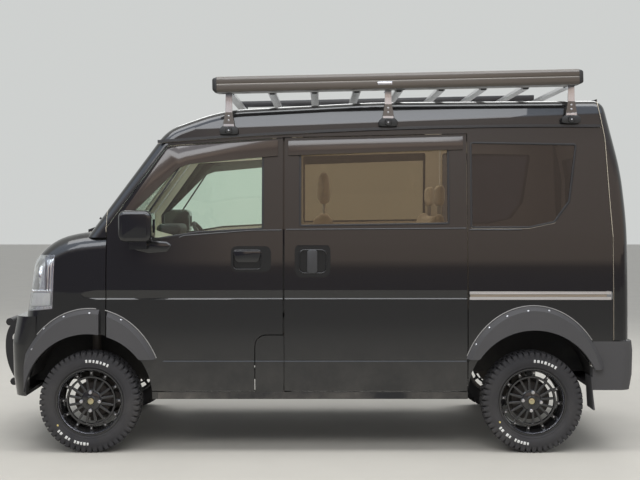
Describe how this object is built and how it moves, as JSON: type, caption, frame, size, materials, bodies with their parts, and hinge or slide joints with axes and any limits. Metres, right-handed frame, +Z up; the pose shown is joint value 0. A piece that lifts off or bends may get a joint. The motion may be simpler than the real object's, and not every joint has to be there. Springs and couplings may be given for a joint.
{
  "type": "kei van",
  "caption": "Short tall one-box van on all-terrain tyres, with hinged front doors, sliding rear doors, a lifting tailgate, wheel-arch flares, a front guard, a roof rack and a side awning.",
  "frame": {"origin": "on the ground under the middle of the van's overall length and width", "axes": "+X forward, +Y to the van's left, +Z up"},
  "size_m": [3.515, 1.8284, 2.0977],
  "materials": {
    "body_paint": "gloss black paint",
    "front_glass": "clear glass with a light green tint",
    "rear_glass": "smoked brown-black glass",
    "lamp_glass": "clear lens over a bright reflector",
    "tail_lamp": "red lens",
    "dark_plastic": "matt dark grey, lightly grained",
    "gutter_black": "satin black",
    "bare_aluminium": "bare, brushed along its length",
    "awning_cover": "dark brown-grey cover",
    "under_paint": "matt black underbody coating",
    "engine_metal": "plain",
    "exhaust_steel": "dull",
    "beige_plastic": "matt beige, grained",
    "beige_fabric": "woven beige seat cloth",
    "wheel_rim_plastic": "black grip",
    "rim_black": "gloss black coated light alloy",
    "tyre": "matt black rubber, bare side walls"
  },
  "bodies": {
    "body": {"side_frame_left": "body_paint", "side_frame_right": "body_paint", "roof_panel": "body_paint", "windscreen": "front_glass", "sliding_door_left": "body_paint", "sliding_door_right": "body_paint", "rear_side_glass": "rear_glass", "front_body": "body_paint", "headlamps": "lamp_glass", "front_bumper": "body_paint", "grille": "dark_plastic", "tail_lamps": "tail_lamp", "rear_bumper": "dark_plastic", "front_guard": "gutter_black", "floor_pan": "under_paint", "chassis_frame": "under_paint", "engine": "engine_metal", "fuel_tank": "under_paint", "exhaust": "exhaust_steel", "rear_axle": "under_paint", "front_suspension": "under_paint", "dashboard": "beige_plastic", "front_seats": "beige_fabric", "rear_seat": "beige_fabric", "wheel_flares": "dark_plastic", "mudflaps": "dark_plastic", "slide_door_trim": "dark_plastic", "slide_rails": "bare_aluminium", "rain_gutters": "gutter_black", "roof_rack": "gutter_black", "rack_crossbars": "bare_aluminium", "awning": "awning_cover", "cowl_and_wipers": "dark_plastic"},
    "front_door_left": {"front_door_left": "body_paint", "door_glass_left": "front_glass", "door_fittings_left": "dark_plastic"},
    "front_door_right": {"front_door_right": "body_paint", "door_glass_right": "front_glass", "door_fittings_right": "dark_plastic"},
    "tailgate": {"tailgate": "body_paint", "tailgate_glass": "rear_glass", "tailgate_bracket": "gutter_black"},
    "bonnet": {"bonnet": "body_paint"},
    "knuckle_left": {"knuckle_left": "under_paint"},
    "knuckle_right": {"knuckle_right": "under_paint"},
    "steering_wheel": {"steering_wheel": "wheel_rim_plastic"},
    "wheel_front_left": {"rim_front_left": "rim_black", "tyre_front_left": "tyre"},
    "wheel_front_right": {"rim_front_right": "rim_black", "tyre_front_right": "tyre"},
    "wheel_rear_left": {"rim_rear_left": "rim_black", "tyre_rear_left": "tyre"},
    "wheel_rear_right": {"rim_rear_right": "rim_black", "tyre_rear_right": "tyre"}
  },
  "joints": [
    {"name": "front_door_left_hinge", "type": "hinge", "parent": "body", "child": "front_door_left", "pos_m": [1.1335, 0.7375, 0.78], "axis": [0, 0, -1], "range_deg": [0, 65]},
    {"name": "front_door_right_hinge", "type": "hinge", "parent": "body", "child": "front_door_right", "pos_m": [1.1335, -0.7375, 0.78], "axis": [0, 0, 1], "range_deg": [0, 65]},
    {"name": "tailgate_hinge", "type": "hinge", "parent": "body", "child": "tailgate", "pos_m": [-1.572, 0, 1.938], "axis": [0, 1, 0], "range_deg": [0, 85]},
    {"name": "bonnet_hinge", "type": "hinge", "parent": "body", "child": "bonnet", "pos_m": [1.277, 0, 1.205], "axis": [0, -1, 0], "range_deg": [0, 60]},
    {"name": "steering_left", "type": "hinge", "parent": "body", "child": "knuckle_left", "pos_m": [1.2275, 0.622, 0.276], "axis": [0, 0, 1], "range_deg": [-36, 36]},
    {"name": "steering_right", "type": "hinge", "parent": "body", "child": "knuckle_right", "pos_m": [1.2275, -0.622, 0.276], "axis": [0, 0, 1], "range_deg": [-36, 36]},
    {"name": "steering_wheel_turn", "type": "hinge", "parent": "body", "child": "steering_wheel", "pos_m": [0.6675, -0.35, 1.1], "axis": [-0.8192, 0, 0.5736], "range_deg": [-510, 510]},
    {"name": "wheel_front_left_spin", "type": "hinge", "parent": "knuckle_left", "child": "wheel_front_left", "pos_m": [1.2275, 0.65, 0.276], "axis": [0, 1, 0], "continuous": true},
    {"name": "wheel_front_right_spin", "type": "hinge", "parent": "knuckle_right", "child": "wheel_front_right", "pos_m": [1.2275, -0.65, 0.276], "axis": [0, 1, 0], "continuous": true},
    {"name": "wheel_rear_left_spin", "type": "hinge", "parent": "body", "child": "wheel_rear_left", "pos_m": [-1.2025, 0.65, 0.276], "axis": [0, 1, 0], "continuous": true},
    {"name": "wheel_rear_right_spin", "type": "hinge", "parent": "body", "child": "wheel_rear_right", "pos_m": [-1.2025, -0.65, 0.276], "axis": [0, 1, 0], "continuous": true}
  ],
  "couplings": [
    {"joint": "steering_right", "follows": "steering_left", "ratio": 1},
    {"joint": "steering_wheel_turn", "follows": "steering_left", "ratio": 14}
  ]
}
